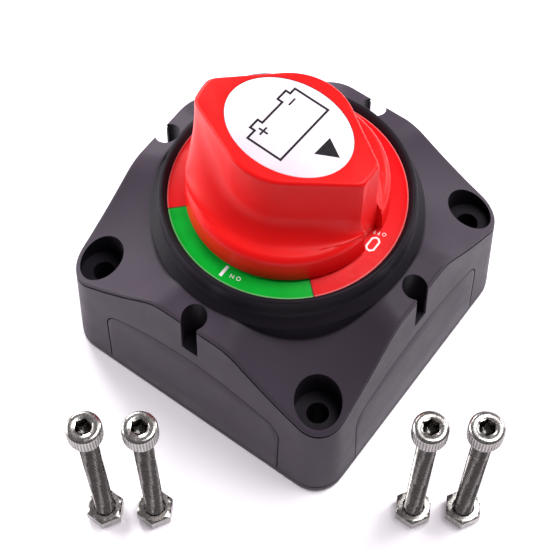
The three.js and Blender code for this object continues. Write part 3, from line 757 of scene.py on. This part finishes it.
def oval(grow, levels):
    """The label's oval drawn through levels whose radius is a share of its own."""
    bm = shaped(120, levels)
    bmesh.ops.scale(bm, vec=(label_long + grow, label_short + grow, 1), verts=bm.verts)
    turned = Matrix.Rotation(label_turn, 3, "Z")
    bmesh.ops.rotate(bm, cent=(0, 0, 0), matrix=turned, verts=bm.verts)
    return bm


def grip_hollow():
    return flat_outline([(9.6, -3), (15.4, -3), (15.4, 3), (9.6, 3)], 40, 65)


def shaft_bore(angle):
    """The bore for the D shaft: round, with its flat towards the tail."""
    flat = shaft_bore_flat / -math.cos(angle) if math.cos(angle) < 0 else wide
    return min(shaft_bore_r, flat)


groove_ends = [(groove_reach, -groove_half), (wide, -groove_half)]
groove_ends += [(wide, groove_half), (groove_reach, groove_half)]
groove = flat_outline(groove_ends, 40, 80, Matrix.Rotation(groove_turn, 4, "Z"))
skirt_hollow = [(8.4, 40), (17.9, 40), (17.9, 51), (8.4, 51)]
knob_form = carved(
    shaped(knob_sides, knob_levels),
    ("DIFFERENCE", groove),
    ("DIFFERENCE", oval(0.12, [(1, 68.9), (1, 75)])),
    ("DIFFERENCE", washer_of(96, skirt_hollow)),
    ("DIFFERENCE", at_turns(grip_hollow, (0.3, 188.4))),
    ("DIFFERENCE", shaped(96, [lambda a, z=z: (shaft_bore(a), z) for z in (40, shaft_bore_top)])),
)
red_low, red_high = (0.700, 0.004, 0.004), (0.760, 0.006, 0.007)
knob_red = moulded("knob_red", red_low, red_high, 0.36, grain=0.000006, gloss=0.16)
key_knob = piece_of("key_knob", knob_form, knob_red, 34)
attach(key_knob, "knob")
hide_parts("knob")

# ---------------------------------------------------------------------------- knob label
# An oval white foil in a shallow bed on top of the knob, printed in black with the outline of a
# battery, its two poles and an arrow head towards the pointer.
label_top = 69.25
label_ink = 69.27
label_form = oval(0, [(0.992, 68.95), (1, 69.0), (1, 69.2), (0.992, label_top)])
label_white = Finish("label_white", Roughness=0.36)
label_tone = label_white.spread(label_white.noise(180.0, 3.0), 0.35, 0.65)
label_white.feed(
    Base_Color=label_white.mixed(label_tone, (0.64, 0.56, 0.63, 1.0), (0.69, 0.61, 0.68, 1.0)),
    Roughness=label_white.spread(label_white.noise(1100.0, 3.0), 0.3, 0.7, 0.3, 0.42),
)
knob_foil = piece_of("knob_foil", label_form, label_white.material)
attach(knob_foil, "knob")
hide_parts("knob_label")

black_ink = Finish("black_ink", Roughness=0.42, Specular_IOR_Level=0.2)
black_tone = black_ink.spread(black_ink.noise(1400.0, 3.0), 0.35, 0.65)
black_low, black_high = (0.004, 0.003, 0.005, 1.0), (0.009, 0.008, 0.011, 1.0)
black_ink.feed(Base_Color=black_ink.mixed(black_tone, black_low, black_high))
battery = [
    (3.7, -7.05), (3.7, 7.75), (-4.68, 7.75), (-4.68, 6.3), (-5.75, 6.3), (-5.75, 3.35),
    (-4.6, 3.35), (-4.6, -2.2), (-5.7, -2.2), (-5.7, -4.9), (-4.6, -4.9), (-4.6, -7.05),
]
battery_line = 0.46
arm, line = 1.05, 0.2
plus = [
    (line, -arm), (line, -line), (arm, -line), (arm, line), (line, line), (line, arm),
    (-line, arm), (-line, line), (-arm, line), (-arm, -line), (-line, -line), (-line, -arm),
]
dash, dash_half = 0.95, 0.19
minus = [(-dash_half, -dash), (dash_half, -dash), (dash_half, dash), (-dash_half, dash)]
arrow = [(7.37, -2.22), (11.74, -0.11), (7.69, 2.43)]
plus_place = Matrix.Translation((-3.2, -3.65, 0))
minus_place = Matrix.Translation((-2.79, 4.9, 0))
symbol_turn = Matrix.Rotation(math.radians(-2.4), 4, "Z")
outline = hollow_outline(battery, battery_line, label_top, label_ink)
bmesh.ops.transform(outline, matrix=symbol_turn, verts=outline.verts)
symbols = {
    "battery_outline": outline,
    "plus_sign": flat_outline(plus, label_top, label_ink, plus_place @ symbol_turn),
    "minus_sign": flat_outline(minus, label_top, label_ink, minus_place @ symbol_turn),
    "arrow_head": flat_outline(arrow, label_top, label_ink),
}
for name, bm in symbols.items():
    symbol = piece_of(name, bm, black_ink.material)
    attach(symbol, "knob")

# ---------------------------------------------------------------------------- mounting screws
# Four M4 x 40 socket head screws of stainless steel with their nuts, loose beside the switch:
# rolled threads up to the head, a knurled head with a hexagon socket, and chamfered nuts.
screw_feet = ((-1.2, -62.7), (7.2, -56.6), (50.7, -24.7), (59.1, -18.6))
pitch = 0.7
thread_r = 2.0
thread_depth = 0.4
shank_foot = 0.3
shank_top = 40.3
shank_end_r = 1.2
head_r = 3.5
head_top = 44.3
knurl = 0.16
knurl_count = 36
socket_flats = 3.0


def thread_wave(z, angle):
    """0 to 1 and back once in each pitch, along a right hand helix."""
    return abs(2 * ((z / pitch - angle / math.tau) % 1.0) - 1)


def thread_level(z):
    def at(angle):
        flat_crest = min(max((thread_wave(z, angle) - 0.12) / 0.76, 0), 1)
        ends = min((z - shank_foot) / 0.6, 1)
        return thread_r - thread_depth * flat_crest - 0.35 * (1 - ends), z
    return at


def groove_shade_depth(bm, near, far, low, high):
    """Marks how deep each point lies in the thread or the knurl: oil and shade gather there."""
    deep = bm.verts.layers.float.new("deep")
    for v in bm.verts:
        r = math.hypot(v.co.x, v.co.y)
        if low <= v.co.z <= high:
            v[deep] = min(max((far - r) / (far - near), 0), 1)


def hexagon_r(angle, flats):
    return flats / 2 / math.cos(angle % (math.pi / 3) - math.pi / 6)


def head_level(z, depth=0.0):
    return lambda angle: (head_r - depth * (0.5 + 0.5 * math.cos(knurl_count * angle)), z)


def socket_level(z, flats=socket_flats):
    return lambda angle: (hexagon_r(angle, flats), z)


steps_up = int((shank_top - shank_foot) / pitch * 6)
step_up = (shank_top - shank_foot) / steps_up
shank = [(shank_end_r, shank_foot)]
shank += [thread_level(shank_foot + k * step_up) for k in range(steps_up + 1)]
cap_head = [
    (2.6, 40.3), (3.2, 40.32), (3.42, 40.45), head_level(40.65, knurl),
    head_level(43.55, knurl), (3.44, 43.8), (3.25, 44.08), (2.95, 44.25), (2.7, head_top),
    (1.98, head_top), (1.82, head_top - 0.1), socket_level(head_top - 0.16, socket_flats + 0.05),
    socket_level(42.1), (1.2, 41.6), (0.2, 41.3),
]
nut_flats = 7.0
nut_round = nut_flats / math.sqrt(3)
nut_top = 3.2
nut_chamfer = 0.75


def nut_level(z, chamfer=0.0):
    return lambda angle: (min(hexagon_r(angle, nut_flats), nut_round - chamfer), z)


def nut_bore(z):
    return lambda angle: (thread_r + 0.15 + 0.12 * thread_wave(z, angle), z)


steel = Finish("stainless", Metallic=1.0)
steel_tone = steel.spread(steel.noise(700.0, 4.0), 0.3, 0.7)
deep = steel.node("ShaderNodeAttribute", {"attribute_name": "deep"}, out="Fac")
steel_colour = steel.mixed(steel_tone, (0.30, 0.285, 0.27, 1.0), (0.46, 0.44, 0.42, 1.0))
steel.feed(
    # painted shade: the thread roots and the knurl grooves are darkened by their depth
    Base_Color=steel.mixed(deep * 0.9, steel_colour, (0.035, 0.032, 0.030, 1.0)),
    Roughness=steel.spread(steel.noise(2400.0, 4.0), 0.3, 0.7, 0.17, 0.34),
    Normal=steel.raised(steel.noise(5200.0, 2.0), 0.000004),
)


def closed_ring(sides_count, levels):
    """A ring drawn through levels and joined back to its first one."""
    bm = shaped(sides_count, levels)
    caps = [f for f in bm.faces if len(f.verts) > 4]
    rims = [e for f in caps for e in f.edges]
    bmesh.ops.delete(bm, geom=caps, context="FACES_ONLY")
    bmesh.ops.bridge_loops(bm, edges=rims)
    bmesh.ops.recalc_face_normals(bm, faces=bm.faces)
    return bm


nut_levels = [
    (2.3, 0), (2.9, 0), nut_level(0.02, nut_chamfer), nut_level(0.3), nut_level(2.9),
    nut_level(nut_top - 0.02, nut_chamfer), (2.9, nut_top), (2.3, nut_top),
]
nut_levels += [nut_bore(3.1 - k * 3.0 / 26) for k in range(27)]
for number, (x, y) in enumerate(screw_feet, 1):
    bolt = shaped(24, shank)
    groove_shade_depth(bolt, thread_r - thread_depth, thread_r, 0, shank_top)
    head = shaped(144, cap_head)
    groove_shade_depth(head, head_r - knurl, head_r, 40.6, 43.6)
    joined = bpy.data.meshes.new("joined")
    head.to_mesh(joined)
    head.free()
    bolt.from_mesh(joined)
    bpy.data.meshes.remove(joined)
    bmesh.ops.translate(bolt, vec=(x, y, 0), verts=bolt.verts)
    screw = piece_of("cap_screw_%d" % number, bolt, steel.material, 42)
    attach(screw, "root")
    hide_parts("mounting_screw_%d" % number)
    nut_form = closed_ring(48, nut_levels)
    bmesh.ops.translate(nut_form, vec=(x, y, 0), verts=nut_form.verts)
    nut = piece_of("screw_nut_%d" % number, nut_form, steel.material, 30)
    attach(nut, "root")
    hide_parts("mounting_nut_%d" % number)

# ---------------------------------------------------------------------------- inner works
# The carrier plate, rotor, contact bar, spring, seal, studs, washers and nuts are inside the
# housing, or show only when the knob is off, so they keep their CAD meshes.
carrier_black = moulded("carrier_black", (0.020, 0.019, 0.020), (0.030, 0.028, 0.030), 0.55)
nylon_white = moulded("nylon_white", (0.66, 0.62, 0.53), (0.74, 0.70, 0.62), 0.42)
rubber_black = moulded("rubber_black", (0.012, 0.012, 0.012), (0.022, 0.021, 0.021), 0.72)


def rolled_metal(name, dark, light, roughness, along=(1.0, 1.0, 1.0)):
    finish = Finish(name, Metallic=1.0)
    streaks = finish.noise(420.0, 4.0, 0.6, along)
    finish.feed(
        Base_Color=finish.mixed(finish.spread(streaks, 0.3, 0.7), (*dark, 1.0), (*light, 1.0)),
        Roughness=finish.spread(streaks, 0.3, 0.7, roughness - 0.07, roughness + 0.09),
        Normal=finish.raised(streaks, 0.00001),
    )
    return finish.material


rolled_along = (6.0, 0.6, 1.0)
bar_copper = rolled_metal("bar_copper", (0.62, 0.27, 0.16), (0.80, 0.42, 0.27), 0.27, rolled_along)
tinned_brass = rolled_metal("tinned_brass", (0.62, 0.56, 0.40), (0.74, 0.68, 0.52), 0.3)
zinc_plate = rolled_metal("zinc_plate", (0.60, 0.61, 0.64), (0.76, 0.77, 0.79), 0.3)
spring_wire = rolled_metal("spring_wire", (0.42, 0.43, 0.45), (0.58, 0.59, 0.61), 0.26)
inner_finishes = {
    "contact_carrier": carrier_black,
    "rotor": nylon_white,
    "shaft_seal": rubber_black,
    "contact_bar": bar_copper,
    "contact_spring": spring_wire,
}
for side in ("right", "left"):
    inner_finishes["terminal_stud_" + side] = tinned_brass
    inner_finishes["flat_washer_" + side] = steel.material
    inner_finishes["spring_washer_" + side] = spring_wire
    inner_finishes["terminal_nut_" + side] = steel.material
for end, side in product(("back", "front"), ("right", "left")):
    inner_finishes["carrier_screw_%s_%s" % (end, side)] = zinc_plate
for node, material in inner_finishes.items():
    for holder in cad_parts[node].material_slots:
        holder.material = material

# ---------------------------------------------------------------------------- table and light
# A plain pale table under the switch, broad soft lights round it and the camera.
table = bmesh.new()
bmesh.ops.create_grid(table, x_segments=2, y_segments=2, size=3.0)
bmesh.ops.translate(table, vec=(0, 0, -0.0002), verts=table.verts)
pale = Finish(
    "pale_table",
    Base_Color=(0.95, 0.91, 0.96, 1.0),
    Roughness=0.8,
    Emission_Color=(1.0, 0.93, 1.0, 1.0),
    Emission_Strength=0.2,
)
floor = loose(table, "table_top")
floor.data.materials.append(pale.material)


def soft_light(name, place, size, power):
    data = bpy.data.lights.new(name, "AREA")
    data.shape = "DISK"
    data.size = size
    data.energy = power
    lamp = bpy.data.objects.new(name, data)
    lamp.location = place
    aim = Vector((0, 0, 0.04)) - Vector(place)
    lamp.rotation_euler = aim.to_track_quat("-Z", "Y").to_euler()
    bpy.context.scene.collection.objects.link(lamp)


soft_light("left_box", (-0.60, -0.20, 0.24), 0.45, 4.0)
soft_light("left_back_box", (-0.55, 0.30, 0.40), 0.28, 4.0)
soft_light("back_box", (0.28, 0.75, 0.36), 0.35, 3.5)
soft_light("top_box", (0.22, 0.26, 0.86), 0.5, 7.6)
world = bpy.data.worlds.new("studio")
world.use_nodes = True
backdrop = world.node_tree.nodes["Background"]
backdrop.inputs["Color"].default_value = (1.0, 0.94, 1.0, 1.0)
backdrop.inputs["Strength"].default_value = 0.20
bpy.context.scene.world = world
bpy.context.scene.view_settings.view_transform = "Standard"

right = Vector((0.80627792, 0.59153568, -0.00120462))
up = Vector((-0.516712, 0.70527981, 0.48537521))
back = Vector((0.28796635, -0.39072487, 0.87430513))
camera_data = bpy.data.cameras.new("camera")
camera_data.lens = 97.23
camera_data.sensor_width = 36
camera_data.clip_start = 0.01
camera = bpy.data.objects.new("camera", camera_data)
axes_matrix = Matrix((right, up, back)).transposed().to_4x4()
camera.matrix_world = Matrix.Translation((0.09362318, -0.13193272, 0.30166588)) @ axes_matrix
bpy.context.scene.collection.objects.link(camera)
bpy.context.scene.camera = camera
